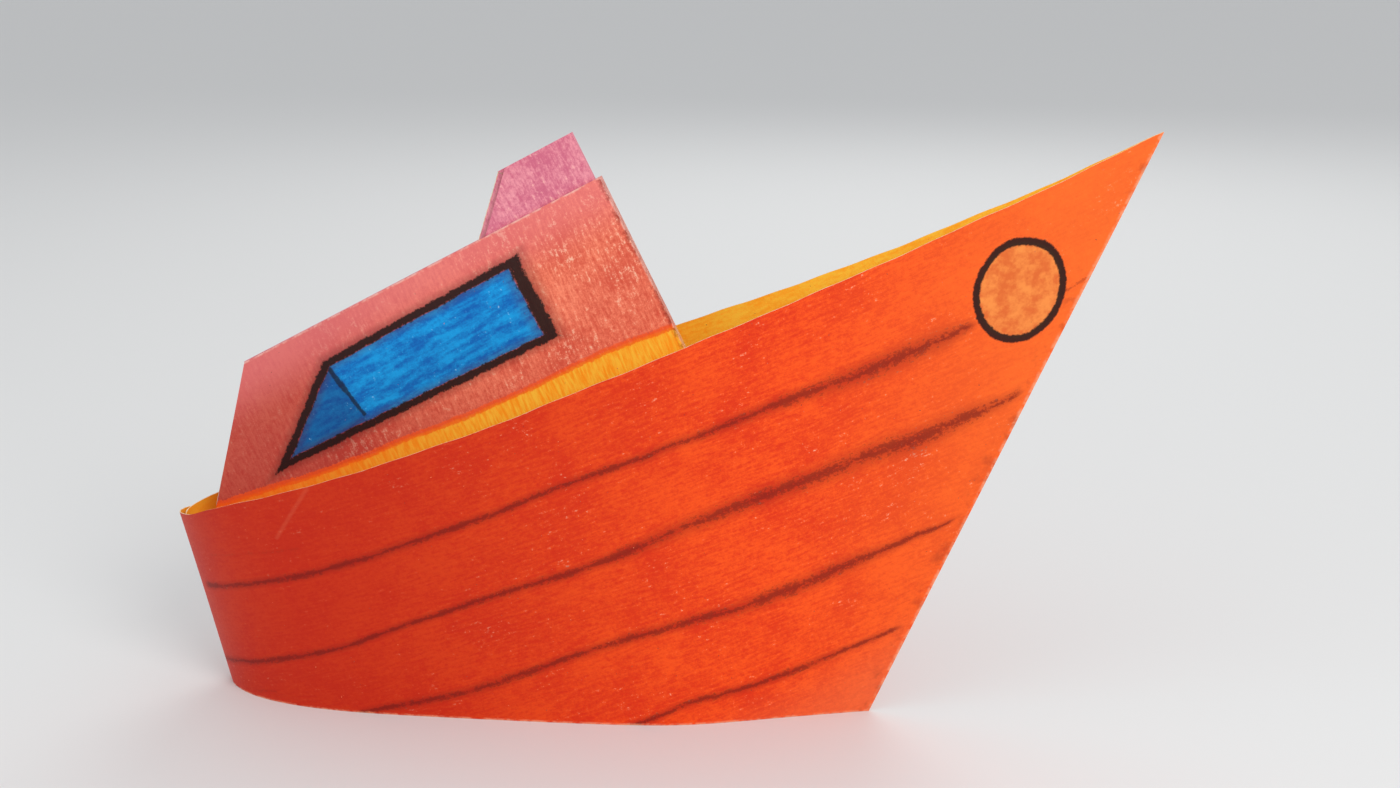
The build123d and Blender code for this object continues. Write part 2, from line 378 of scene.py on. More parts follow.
# %% Edges of the paper and the creases in the middle plane
for i in range(len(STRIP_CUTS)):
    for skin, finishes in enumerate((DECK_FINISH, HULL_FINISH)):
        port, starboard = borders[PORT, skin, i], borders[STARBOARD, skin, i]
        fronts = [np.stack([port[k][:, 0], starboard[k][:, 0]], 1) for k in (0, 1)]
        sheet.grid(fronts[0], fronts[1], finishes[i])
    for side in (PORT, STARBOARD):
        deck, hull = borders[side, 0, i], borders[side, 1, i]
        ends = [np.stack([deck[k][:, -1], hull[k][:, -1]], 1) for k in (0, 1)]
        sheet.grid(ends[0], ends[1], CUT)
for i, row in ((0, 0), (len(STRIP_CUTS) - 1, -1)):
    for side in (PORT, STARBOARD):
        deck, hull = borders[side, 0, i], borders[side, 1, i]
        sheet.grid(*[np.stack([deck[k][row], hull[k][row]]) for k in (0, 1)], CUT)
    corners = [[borders[side, skin, i][0][row, 0] for skin in (0, 1)] for side in (PORT, STARBOARD)]
    flats = [[borders[side, skin, i][1][row, 0] for skin in (0, 1)] for side in (PORT, STARBOARD)]
    sheet.grid(np.array(corners), np.array(flats), CUT)
print("grid corners before merging:", sheet.count)

# %% [markdown]
# ## Paper is never quite flat
#
# A sheet that has been handled keeps a few shallow waves. They move every layer alike, sideways
# and by less than half a millimetre, so pressed layers stay apart and the bottom stays level.


# %% Shallow waves
WAVE_START = 12              # mm above the bottom where the waves reach their full size


def handled(points):
    """Shallow waves that a handled sheet keeps."""
    x, z = points[:, 0], points[:, 2]
    waves = 0.30 * np.sin(x / 17 + z / 31) * np.sin(z / 26 + 0.4) + 0.10 * np.sin(x / 6.5 - z / 11)
    moved = points.copy()
    moved[:, 1] += waves * np.clip(z / WAVE_START, 0, 1)
    return moved


print("waves start at, mm:", WAVE_START)


# %% [markdown]
# ## One closed shell
#
# The grids become one mesh, their doubled corners are merged, and the normals are recalculated.
# Creases sharper than 30 degrees stay crisp and everything flatter is shaded smoothly.


# %% Make the sheet object
CREASE_ANGLE = radians(30)
MERGE_WITHIN = 0.001 * MM


def sheet_object(name):
    points = handled(np.vstack(sheet.points)) * MM + np.array(BOW_FOOT)
    faces = np.vstack(sheet.faces)
    mesh = bpy.data.meshes.new(name)
    mesh.from_pydata(points, [], faces.tolist())
    flat = mesh.attributes.new("flat", "FLOAT_VECTOR", "CORNER")
    flat.data.foreach_set("vector", np.vstack(sheet.flats)[faces.ravel()].ravel())
    mesh.polygons.foreach_set("material_index", sheet.finishes)
    form = bmesh.new()
    form.from_mesh(mesh)
    bmesh.ops.remove_doubles(form, verts=form.verts, dist=MERGE_WITHIN)
    bmesh.ops.dissolve_degenerate(form, edges=form.edges, dist=MERGE_WITHIN)
    bmesh.ops.recalc_face_normals(form, faces=form.faces)
    open_edges = sum(not edge.is_manifold for edge in form.edges)
    print(name, "faces", len(form.faces), "open edges", open_edges,
          "volume, cm3: %.2f" % (form.calc_volume() * 1e6))
    form.to_mesh(mesh)
    form.free()
    mesh.polygons.foreach_set("use_smooth", [True] * len(mesh.polygons))
    mesh.set_sharp_from_angle(angle=CREASE_ANGLE)
    made = bpy.data.objects.new(name, mesh)
    bpy.context.scene.collection.objects.link(made)
    return made


boat = sheet_object("paper_boat")

# %% [markdown]
# ## Shader maths that reads like maths
#
# A pastel mark is a formula: how far is this spot from the line, and how hard did the hand
# press? Written as nodes by hand, such formulas get long. The first class below lets Python's
# own operators add the Math nodes. Every other node comes from one method of the second.


# %% Terms of a formula
class Term:
    """One socket of a material's nodes, with the operators that formulas need."""

    def __init__(self, finish, socket):
        self.finish, self.socket = finish, socket

    def maths(self, operation, *terms):
        return self.finish.node("ShaderNodeMath", {"operation": operation}, dict(enumerate(terms)))

    def __add__(self, other):
        return self.maths("ADD", self, other)

    def __mul__(self, other):
        return self.maths("MULTIPLY", self, other)

    def __sub__(self, other):
        return self.maths("SUBTRACT", self, other)

    def __rsub__(self, other):
        return self.maths("SUBTRACT", other, self)

    def __truediv__(self, other):
        return self.maths("DIVIDE", self, other)

    def __pow__(self, other):
        return self.maths("POWER", self, other)

    def __abs__(self):
        return self.maths("ABSOLUTE", self)

    __radd__ = __add__
    __rmul__ = __mul__

    def above(self, other):
        return self.maths("MAXIMUM", self, other)

    def below(self, other):
        return self.maths("MINIMUM", self, other)

    def ramp(self, low, high):
        """0 at low, 1 at high and smooth in between; low may be the greater one."""
        flip = low > high
        low, high = sorted((low, high))
        soft = self.finish.node("ShaderNodeMapRange", {"interpolation_type": "SMOOTHSTEP"},
                                {"Value": self, "From Min": low, "From Max": high})
        return 1 - soft if flip else soft


print("a term knows:", ", ".join(name for name in vars(Term) if not name.startswith("_")))


# %% Screen colours
def paint(red, green, blue):
    """A screen colour, 0 to 255, as the linear colour that shaders use."""
    parts = [v / 255 for v in (red, green, blue)]
    return (*[v / 12.92 if v <= 0.04045 else ((v + 0.055) / 1.055) ** 2.4 for v in parts], 1.0)


print("mid grey on a screen is, in linear light, %.3f" % paint(128, 128, 128)[0])


# %% Finishes
class Finish:
    """A material built node by node; x, y and z are the flat place on the paper, in mm."""

    def __init__(self, name, specular=0.2):
        self.material = bpy.data.materials.new(name)
        self.material.use_nodes = True
        self.tree = self.material.node_tree
        self.shader = self.tree.nodes["Principled BSDF"]
        self.shader.inputs["Specular IOR Level"].default_value = specular
        self.place = self.node("ShaderNodeAttribute", {"attribute_name": "flat"}, out="Vector")
        parts = self.node("ShaderNodeSeparateXYZ", {}, {0: self.place})
        outputs = parts.socket.node.outputs
        self.x, self.y, self.z = (Term(self, outputs[i]) for i in range(3))

    def node(self, kind, settings=None, sockets=None, out=0):
        """Add a node: its settings first, then a value or a link for each named socket."""
        made = self.tree.nodes.new(kind)
        for name, value in (settings or {}).items():
            if name == "points":
                self.shape_curve(made, value)
            else:
                setattr(made, name, value)
        for name, value in (sockets or {}).items():
            if isinstance(value, Term):
                self.tree.links.new(value.socket, made.inputs[name])
            else:
                made.inputs[name].default_value = value
        return Term(self, made.outputs[out])

    def shape_curve(self, made, points):
        line = made.mapping.curves[0].points
        for _ in range(len(points) - 2):
            line.new(0.5, 0.5)
        for point, place in zip(line, points):
            point.location = place
        made.mapping.update()

    def mix(self, share, first, second, blend="MIX"):
        return self.node("ShaderNodeMix", {"data_type": "RGBA", "blend_type": blend},
                         {0: share, 6: first, 7: second}, out=2)

    def noise(self, size, detail=2.0, rough=0.5, place=None, seed=0.0):
        """Soft noise with blobs of about the given size, in mm, in the 0 to 1 range."""
        return self.node("ShaderNodeTexNoise", {"noise_dimensions": "4D"},
                         {"Vector": place or self.place, "W": seed, "Scale": 1 / size,
                          "Detail": detail, "Roughness": rough})

    def finish(self, colour, roughness, relief, depth):
        """Send the results to the shader; depth is the relief's height in mm."""
        bump = self.node("ShaderNodeBump", {}, {"Distance": depth * MM, "Height": relief,
                                                "Strength": 1.0})
        for name, term in (("Base Color", colour), ("Roughness", roughness), ("Normal", bump)):
            self.tree.links.new(term.socket, self.shader.inputs[name])
        print(self.material.name, "nodes:", len(self.tree.nodes))
        return self.material


print("a finish adds nodes with Finish.node")


# %% Marks on the flat paper
class Drawing(Finish):
    """A finish with the shapes that a hand draws: strokes, curves and straight edges."""

    def turned(self, angle, length, width):
        """The flat place seen along a direction and stretched, for marks of a moving hand."""
        run = self.x * (cos(angle) / length) + self.y * (sin(angle) / length)
        across = self.y * (cos(angle) / width) - self.x * (sin(angle) / width)
        return self.node("ShaderNodeCombineXYZ", {}, {0: run, 1: across, 2: self.z})

    def curve(self, value, points):
        """The height of a smooth line through the given points, at the value."""
        xs, ys = zip(*points)
        low, wide = min(xs), max(xs) - min(xs)
        base, tall = min(ys), max(max(ys) - min(ys), 1e-6)
        places = [((x - low) / wide, (y - base) / tall) for x, y in points]
        share = (value - low) / wide
        return self.node("ShaderNodeFloatCurve", {"points": places}, {1: share}) * tall + base

    def edge(self, start, end):
        """Signed distance from the line through two points, positive on its left."""
        dx, dy = end[0] - start[0], end[1] - start[1]
        size = hypot(dx, dy)
        return self.y * (dx / size) - self.x * (dy / size) + (start[0] * dy - start[1] * dx) / size

    def segment(self, start, end):
        """Distance from a short stroke between two points."""
        dx, dy = end[0] - start[0], end[1] - start[1]
        size = dx * dx + dy * dy
        run = ((self.x - start[0]) * (dx / size) + (self.y - start[1]) * (dy / size))
        run = run.above(0.0).below(1.0)
        off_x, off_y = self.x - start[0] - run * dx, self.y - start[1] - run * dy
        return (off_x * off_x + off_y * off_y) ** 0.5


print("a drawing adds curves, edges and strokes")

# %% [markdown]
# ## Oil pastel on paper with a tooth
#
# Pastel wax lies on the paper's high spots and misses the small hollows. Seen closely it is
# three things at once: cloudy pressure over a centimetre or two, streaks in the direction of
# the hand, and pale specks where the paper shows. Every coloured finish uses this mixture.


# %% The pastel itself
PAPER_SHOWING = paint(250, 214, 184)


def pastel(finish, light, dark, angle, cover, seed):
    """The colour of a rubbed area, and its relief. cover is how well the wax hides the paper."""
    clouds = finish.noise(15.0, 3.0, 0.6, seed=seed)
    streaks = finish.noise(1.0, 3.0, 0.6, finish.turned(angle, 5.0, 0.8), seed + 1)
    tooth = finish.noise(0.9, 4.0, 0.75, seed=seed + 2)
    pressure = clouds * 0.8 + streaks * 0.9 + tooth * 1.1
    colour = finish.mix(pressure.ramp(1.12, 1.68), dark, light)
    missed = (tooth + streaks * 0.6 - clouds * 0.4).ramp(cover, cover + 0.16)
    colour = finish.mix(missed * 0.6, colour, PAPER_SHOWING)
    return colour, tooth * 0.75 + streaks * 0.35, streaks, tooth


def crumbly(finish, distance, streaks, tooth, softness=0.5):
    """A line's strength from its distance over its half width; wax breaks up at its sides."""
    pressed = 1.0 - distance + (tooth - 0.5) * (5.0 * softness) + (streaks - 0.5) * (2.4 * softness)
    return pressed.ramp(0.02, 0.42)


print("pastel ready")

# %% [markdown]
# ## The hull's orange
#
# The hull is bright orange and a little paler along its foot. Painted light makes it brighter
# towards the bow, and painted shade makes it deeper and redder towards the stern. A painted
# image would fix these changes at one size and need a file. Wide ramps along the flat paper say
# the same in a line each, and stay smooth at any distance.

# %% Lay the orange down
BOW_LIGHT_ORANGE, STERN_SHADE_RED, PALE_FOOT = paint(255, 124, 44), paint(184, 28, 4), paint(236, 112, 66)

hull = Drawing("hull_orange")
colour, relief, streaks, tooth = pastel(
    hull, paint(250, 84, 18), paint(222, 50, 8), radians(20), 0.76, 1.0)
# Painted light: the orange turns brighter towards the bow, where the light falls.
colour = hull.mix(hull.x.ramp(-30, 60) * 0.55, colour, BOW_LIGHT_ORANGE)
# Painted shade: the orange turns deeper and redder towards the stern, which curves away from the
# light.
colour = hull.mix(hull.x.ramp(-20, -150) * 0.78, colour, STERN_SHADE_RED)
foot = (hull.y - hull.x * 0.5).ramp(26, 2)
colour = hull.mix(foot * 0.5, colour, PALE_FOOT)
print("orange laid down, nodes:", len(hull.tree.nodes))

# %% [markdown]
# ## Plank lines
#
# Four plank lines are drawn in dark red along the hull. They could be thin ribbons of their
# own, but wax has hardly any thickness, so each is part of the hull's finish: a curve through
# a few places on the flat paper. A second curve gives its half width, which is how hard the
# hand pressed. Noise pushes the line about and breaks it up into crumbs.

# %% Where the plank lines run
PLANKS = [   # places on the line, then (place along, half width), all in mm
    ([(-182, 33), (-146, 43.6), (-106, 59.3), (-79, 70), (-45, 82), (-20, 91.3), (4, 99),
      (24, 106.3)],
     [(-182, 0.8), (-120, 0.95), (-60, 0.95), (-25, 1.35), (5, 2.0), (18, 1.3), (24, 0.2)]),
    ([(-182, 7), (-142, 19), (-115, 31), (-89, 40.7), (-69, 47.6), (-44, 58.5), (-12, 70),
      (18, 79.6), (37, 87)],
     [(-182, 0.9), (-120, 0.8), (-80, 1.0), (-50, 1.6), (-20, 1.9), (8, 2.1), (27, 1.4),
      (37, 0.2)]),
    ([(-135, -1), (-121, 3.3), (-102, 9.1), (-79, 18.8), (-59, 26.2), (-29, 35), (-4, 44),
      (22, 54)],
     [(-135, 0.3), (-110, 0.95), (-70, 1.05), (-45, 1.15), (-18, 1.6), (5, 1.0), (22, 0.3)]),
    ([(-66, -2), (-59, 0.9), (-44, 7.1), (-26, 11.5), (-10, 17.4), (9, 24.4)],
     [(-66, 0.6), (-50, 0.8), (-25, 0.9), (0, 0.7), (9, 0.1)]),
]
FADE = 4                     # mm over which a plank line starts and ends
DARK_RED = paint(116, 12, 6)
print("plank lines:", len(PLANKS))

# %% Draw the plank lines
grain = ((tooth - 0.5) * 3.6 + (streaks - 0.5) * 2.2
         + (hull.noise(11.0, 2.0, seed=8.0) - 0.5) * 1.2)
planks = None
for places, pressures in PLANKS:
    start, stop = places[0][0], places[-1][0]
    wander = (hull.noise(9.0, 2.0, seed=7.0) - 0.5) * 1.6
    away = abs(hull.y - hull.curve(hull.x, places) + wander) / hull.curve(hull.x, pressures)
    ends = hull.x.ramp(start, start + FADE) * hull.x.ramp(stop, stop - FADE)
    core = (0.66 - away * 0.62 + grain).ramp(-0.1, 0.55)
    line = (core * 0.54 + away.ramp(2.9, 0.1) * 0.4) * ends
    planks = line if planks is None else planks.above(line)
print("lines drawn, nodes:", len(hull.tree.nodes))

# %% Two short strokes and a faint one
short = hull.segment((44, 111.5), (51, 115.6)).below(hull.segment((-162, 2.2), (-156.5, 3.6)))
planks = planks.above((0.6 - short + grain).ramp(-0.1, 0.55) * 0.5)
faint = hull.segment((-174, 45.2), (-146, 52.0))
planks = planks.above((0.5 - faint * 0.8 + grain).ramp(-0.1, 0.55) * 0.2)
colour = hull.mix(planks * 0.85, colour, DARK_RED)
print("strokes drawn, nodes:", len(hull.tree.nodes))

# %% [markdown]
# ## The porthole
#
# The porthole is a round window drawn near the bow, filled with ochre and ringed in black. One
# number does both jobs: the distance from its middle over its radius. Below 0.9 it is ochre and
# round about 0.92 it is black, and a little noise keeps the ring from being a perfect one.

# %% Draw the porthole
PORTHOLE = (33.0, 113.6)
PORTHOLE_RADII = (11.8, 14.1)
RING_MIDDLE, RING_HALF_WIDTH = 0.915, 0.085              # shares of the radius

across = (hull.x - PORTHOLE[0]) / PORTHOLE_RADII[0]
upward = (hull.y - PORTHOLE[1]) / PORTHOLE_RADII[1]
ring = (across * across + upward * upward) ** 0.5 + (hull.noise(7.0, 1.0, seed=3.0) - 0.5) * 0.07
ochre = hull.mix(hull.noise(3.5, 3.0, 0.7, seed=4.0).ramp(0.35, 0.68),
                 paint(222, 104, 44), paint(244, 142, 66))
colour = hull.mix(ring.ramp(0.93, 0.88), colour, ochre)
band = abs(ring - RING_MIDDLE) / RING_HALF_WIDTH
outline = crumbly(hull, band * 0.9, streaks, tooth, 0.2)
colour = hull.mix(outline * 0.96, colour, paint(18, 8, 8))
print("porthole drawn, nodes:", len(hull.tree.nodes))

# %% [markdown]
# ## Wear on the hull
#
# Folding and handling rub the wax off wherever the paper is sharp: along the crease at the bow
# and along the bottom fold. Beside the crease the wax is pushed into a darker smudge. Both are
# distances from a straight edge of the flat paper, broken up by noise.

# %% Wear, smudge and a handling crease
WORN, SMUDGED, CREASED = paint(246, 170, 130), paint(128, 34, 20), paint(240, 150, 110)

bow_edge = abs(hull.edge((0, 0), tuple(RIM_FORE)))
patchy = hull.noise(2.6, 3.0, 0.7, seed=5.0).ramp(0.36, 0.6)
worn = (bow_edge + (tooth - 0.5) * 1.2).ramp(0.9, 0.15) * patchy
worn = worn.above((hull.y + (tooth - 0.5) * 0.9).ramp(0.75, 0.1) * patchy)
colour = hull.mix(worn * 0.6, colour, WORN)
smudge = bow_edge.ramp(5.5, 0.8) * hull.noise(5.0, 3.0, 0.6, seed=6.0).ramp(0.5, 0.72)
colour = hull.mix(smudge * 0.45, colour, SMUDGED)
handling = hull.segment((-142.6, 71.1), (-151.6, 54.9)).ramp(0.9, 0.1)
colour = hull.mix(handling * 0.08, colour, CREASED)
roughness = 0.62 - tooth * 0.2 + planks * 0.05
hull_orange = hull.finish(colour, roughness, relief + planks * 0.25 + outline * 0.3, 0.09)

# %% [markdown]
# ## The inside of the hull
#
# The inside is yellow, rubbed hard and a little orange towards the stern. It needs no drawing,
# so the pastel mixture and one ramp are enough.

# %% Inside yellow
inside = Drawing("inside_yellow")
colour, relief, streaks, tooth = pastel(
    inside, paint(255, 206, 62), paint(255, 172, 34), radians(24), 0.84, 11.0)
colour = inside.mix(inside.x.ramp(-110, -190) * 0.6, colour, paint(250, 140, 26))
inside_yellow = inside.finish(colour, 0.64 - tooth * 0.16, relief, 0.08)

# %% [markdown]
# ## The cabin's rose
#
# The cabin is rose with much paper showing through, plum towards the stern and pinker under the
# roof. The hand moved nearly upright here, so its streaks are turned across the hull's.

# %% Lay the rose down
STERN_PLUM, ROOF_PINK = paint(170, 50, 48), paint(238, 130, 132)

cabin = Drawing("cabin_rose")
colour, relief, streaks, tooth = pastel(
    cabin, paint(250, 140, 108), paint(214, 86, 64), radians(112), 0.68, 21.0)
aft = (cabin.x + (cabin.noise(16.0, 2.0, seed=22.0) - 0.5) * 30).ramp(-75, -160)
colour = cabin.mix(aft * 0.7, colour, STERN_PLUM)
under_roof = cabin.edge(tuple(ROOF_AFT), tuple(ROOF_FORE))
colour = cabin.mix(under_roof.ramp(-16, -1) * 0.55, colour, ROOF_PINK)
print("rose laid down, nodes:", len(cabin.tree.nodes))

# %% [markdown]
# ## The band along the cabin's foot
#
# Where the cabin meets the hull, a band of the inside's yellow runs up its side, edged with an
# orange streak. Cut paper would need a piece of its own. A drawn band is one curve: yellow
# below it, rose above it and orange on it.

# %% Draw the band
FOOT_BAND = [(-182, 46.5), (-169, 50.4), (-161, 53.1), (-139, 60.9), (-120, 68.8), (-104, 75.5),
             (-89, 82.4), (-68, 93.0), (-58, 97.3), (-46, 101.8)]
STREAK_HALF_WIDTH = 1.1

foot = cabin.y - cabin.curve(cabin.x, FOOT_BAND) + (cabin.noise(6.0, 2.0, seed=23.0) - 0.5) * 1.1
yellow = cabin.mix(streaks.ramp(0.35, 0.65), paint(255, 160, 26), paint(255, 202, 62))
yellow = cabin.mix(cabin.x.ramp(-90, -170) * 0.75, yellow, paint(244, 92, 18))
colour = cabin.mix((foot + (tooth - 0.5) * 1.4).ramp(0.3, -0.5), colour, yellow)
streak = crumbly(cabin, abs(foot) / STREAK_HALF_WIDTH, streaks, tooth, 0.4)
colour = cabin.mix(streak * 0.75, colour, paint(246, 88, 20))
print("band drawn, nodes:", len(cabin.tree.nodes))

# %% [markdown]
# ## The window
#
# The window is a slanted four-sided shape of blue in a thick black outline. The greatest of
# four signed distances is negative inside it and grows outwards, and each distance is divided
# by its own side's line width, so that the outline can be wider at the front.

# %% Fill the window with blue
WINDOW = [(-149.6, 63.4), (-138.0, 88.0), (-90.8, 114.2), (-82.3, 97.5)]   # clear of its outline
OUTLINE_WIDTHS = [2.0, 1.9, 3.4, 1.9]       # aft, top, fore and bottom

reach = None
for i, width in enumerate(OUTLINE_WIDTHS):
    away = cabin.edge(WINDOW[i], WINDOW[(i + 1) % len(WINDOW)]) / width
    reach = away if reach is None else reach.above(away)
wobble = (cabin.noise(5.0, 2.0, seed=24.0) - 0.5) * 0.5
reach = reach + wobble
rubbed = cabin.noise(1.0, 4.0, 0.65, cabin.turned(radians(28), 9.0, 2.2), 25.0) + tooth * 0.5
blue = cabin.mix(rubbed.ramp(0.58, 0.92), paint(2, 96, 180), paint(14, 156, 226))
behind = cabin.edge((-138, 88), (-124, 67.5)).ramp(-1.5, 1.5)
blue = cabin.mix(behind, cabin.mix(0.6, blue, paint(8, 58, 124)), blue)
blue = cabin.mix((tooth + streaks * 0.5).ramp(0.9, 1.02) * 0.8, blue, paint(190, 226, 240))
colour = cabin.mix(reach.ramp(0.1, -0.1), colour, blue)
print("window filled, nodes:", len(cabin.tree.nodes))

# %% Draw its outline and the line that divides it
BEND = (-134.2, 82.0)                       # where the dividing line bends

from_outline = abs(reach - 0.5)
colour = cabin.mix(from_outline.ramp(1.7, 0.6) * 0.35, colour, paint(70, 24, 26))
outline = crumbly(cabin, from_outline / 0.68, streaks, tooth, 0.34)
divider = cabin.segment((-138.0, 87.2), BEND).below(cabin.segment(BEND, (-129.6, 75.8)) + 0.25)
outline = outline.above(crumbly(cabin, divider, streaks, tooth, 0.34) * 0.85)
colour = cabin.mix(outline * 0.95, colour, paint(16, 8, 8))
print("outline drawn, nodes:", len(cabin.tree.nodes))

# %% Painted shade and highlight along the cabin's creases
front_edge = abs(cabin.edge((0, 0), tuple(ROOF_FORE)))
patchy = cabin.noise(2.4, 3.0, 0.7, seed=26.0)
# Painted shade: a broken dark red line along the front crease, where the gap between the layers
# lies in shadow.
crease_shade = (front_edge + (tooth - 0.5) * 1.6).ramp(1.5, 0.3) * patchy.ramp(0.42, 0.6)
colour = cabin.mix(crease_shade * 0.65, colour, paint(132, 36, 26))
# Painted highlight: a broken pale line along the front crease and the roof's edge, where the edges
# catch the light.
edge_highlight = (front_edge + (tooth - 0.5)).ramp(0.55, 0.1).above((0 - under_roof).ramp(0.6, 0.1))
colour = cabin.mix(edge_highlight * patchy.ramp(0.6, 0.4) * 0.6, colour, paint(244, 206, 190))
cabin_rose = cabin.finish(colour, 0.66 - tooth * 0.2, relief + outline * 0.35, 0.1)

# %% [markdown]
# ## The funnel, bare paper and the cut edge
#
# The funnel is plum, rubbed lightly on both faces. The faces that are pressed together inside
# the cabin are bare, with only the fibres to see. The cut edge shows the paper's core, stained
# a little by the wax on both sides. All three are the same few nodes with other colours.

# %% Funnel plum
funnel = Drawing("funnel_plum")
colour, relief, streaks, tooth = pastel(
    funnel, paint(242, 158, 168), paint(206, 104, 130), radians(118), 0.74, 31.0)
funnel_plum = funnel.finish(colour, 0.66 - tooth * 0.18, relief, 0.09)

# %% Bare paper
bare = Finish("bare_paper")
fibres = bare.noise(0.8, 4.0, 0.7, seed=41.0)
colour = bare.mix(fibres.ramp(0.3, 0.7), paint(226, 222, 208), paint(242, 239, 228))
bare_paper = bare.finish(colour, 0.78 + fibres * 0.1, fibres, 0.06)

# %% Cut edge
edge = Finish("cut_edge")
stain = edge.noise(1.6, 3.0, 0.7, seed=51.0)
colour = edge.mix(stain.ramp(0.42, 0.66), paint(236, 226, 196), paint(240, 176, 108))
cut_edge = edge.finish(colour, 0.74 + stain * 0.1, stain, 0.05)

# %% Put the finishes on the sheet, in the order of their numbers
for material in (hull_orange, inside_yellow, cabin_rose, funnel_plum, bare_paper, cut_edge):
    boat.data.materials.append(material)
print("finishes on the sheet:", [m.name for m in boat.data.materials])

# %% [markdown]
# ## Crumbs of wax
#
# Pastel leaves tiny crumbs stuck to the paper. They repeat over a surface, so Geometry Nodes
# scatter them: points on the coloured faces, a low-sided pebble on each, flattened, turned and
# sized at random from a fixed seed.


# %% A tree that scatters crumbs
class Scatter:
    """Adds Geometry Nodes with the same call as the finishes: settings first, then sockets."""

    def __init__(self, name):
        self.tree = bpy.data.node_groups.new(name, "GeometryNodeTree")
        self.tree.interface.new_socket("Geometry", in_out="OUTPUT",
                                       socket_type="NodeSocketGeometry")
        self.inputs = {}
        self.entry = self.tree.nodes.new("NodeGroupInput")

    def size(self, name, kind):
        """A named input; its identifier is what a modifier is set by."""
        made = self.tree.interface.new_socket(name, in_out="INPUT", socket_type=kind)
        self.inputs[name] = made.identifier
        return self.entry.outputs[name]

    def node(self, kind, settings=None, sockets=None):
        made = self.tree.nodes.new(kind)
        for name, value in (settings or {}).items():
            setattr(made, name, value)
        for name, value in (sockets or {}).items():
            if isinstance(value, bpy.types.NodeSocket):
                self.tree.links.new(value, made.inputs[name])
            else:
                made.inputs[name].default_value = value
        return made.outputs[0] if made.outputs else made


print("scatter trees ready")

# %% Inputs of the crumb tree
crumbs = Scatter("scatter_crumbs")
surface = crumbs.size("Geometry", "NodeSocketGeometry")
density = crumbs.size("Density", "NodeSocketFloat")
crumb_size = crumbs.size("Crumb Size", "NodeSocketFloat")
seed = crumbs.size("Seed", "NodeSocketInt")
wax = crumbs.size("Wax", "NodeSocketMaterial")
print("inputs of the tree:", list(crumbs.inputs))

# %% From points to pebbles
TURN = 6.28                                 # a full turn, in radians
which = crumbs.node("GeometryNodeInputMaterialIndex")
drawn = crumbs.node("ShaderNodeMath", {"operation": "LESS_THAN"}, {0: which, 1: ROSE + 0.5})
spots = crumbs.node("GeometryNodeDistributePointsOnFaces", {"distribute_method": "RANDOM"},
                    {"Mesh": surface, "Selection": drawn, "Density": density, "Seed": seed})
pebble = crumbs.node("GeometryNodeMeshIcoSphere", {}, {"Radius": crumb_size, "Subdivisions": 1})
turn = crumbs.node("FunctionNodeRandomValue", {"data_type": "FLOAT_VECTOR"},
                   {0: (0, 0, 0), 1: (0, 0, TURN), "Seed": seed})
scale = crumbs.node("FunctionNodeRandomValue", {"data_type": "FLOAT_VECTOR"},
                    {0: (0.5, 0.5, 0.25), 1: (2.2, 1.0, 0.6), "Seed": seed})
placed = crumbs.node("GeometryNodeInstanceOnPoints", {},
                     {"Points": spots, "Instance": pebble, "Scale": scale,
                      "Rotation": spots.node.outputs["Rotation"]})
spun = crumbs.node("GeometryNodeRotateInstances", {}, {"Instances": placed, "Rotation": turn})
real = crumbs.node("GeometryNodeRealizeInstances", {}, {"Geometry": spun})
waxed = crumbs.node("GeometryNodeSetMaterial", {}, {"Geometry": real, "Material": wax})
crumbs.node("NodeGroupOutput", {}, {"Geometry": waxed})
print("nodes of the tree:", len(crumbs.tree.nodes))

# %% The crumbs' wax
crumb_wax = Finish("crumb_wax", 0.5)
spot = crumb_wax.node("ShaderNodeTexCoord", out="Object")
shade = crumb_wax.noise(6 * MM, 1.0, place=spot, seed=61.0)
colour = crumb_wax.mix(shade.ramp(0.4, 0.6), paint(104, 26, 18), paint(238, 128, 84))
wax_material = crumb_wax.finish(colour, 0.42 + shade * 0.1, shade, 0.02)

# %% Scatter them and keep a plain mesh
CRUMBS_PER_SQUARE_METRE = 9000.0
CRUMB_RADIUS = 0.11 * MM
CRUMB_FACES = 20

host = bpy.data.objects.new("crumb_host", boat.data)
bpy.context.scene.collection.objects.link(host)
scatter = host.modifiers.new("crumbs", "NODES")
scatter.node_group = crumbs.tree
for name, value in (("Density", CRUMBS_PER_SQUARE_METRE), ("Crumb Size", CRUMB_RADIUS),
                    ("Seed", 5), ("Wax", wax_material)):
    scatter[crumbs.inputs[name]] = value
ready = host.evaluated_get(bpy.context.evaluated_depsgraph_get())
crumb_mesh = bpy.data.meshes.new_from_object(ready)
host.modifiers.remove(scatter)
bpy.data.objects.remove(host)
wax_crumbs = bpy.data.objects.new("wax_crumbs", crumb_mesh)
bpy.context.scene.collection.objects.link(wax_crumbs)
print("crumbs:", len(crumb_mesh.polygons) // CRUMB_FACES)

# %% [markdown]
# ## The pieces and the frame
#
# The boat has no moving parts, so the sheet and its crumbs both ride on the root body. The
# sheet takes the place of the packed model's folded sheet, which is hidden.

# %% Tell the frame what the pieces are
for piece in (boat, wax_crumbs):
    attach(piece, "root")
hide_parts("folded_sheet")
print("pieces ride on root")

# %% [markdown]
# ## Floor, light and camera
#
# The floor is plain and pale. A big soft light stands high in front of the bow, so the hull
# brightens forwards and falls off round the stern, on top of the light and shade painted into its
# orange, and a weak one fills from the other side.


# %% Floor
FLOOR_HALF_SIDE = 40.0       # metres, so that its far edge is out of sight
FLOOR_GAP = 0.05 * MM        # keeps the floor just under the bottom fold


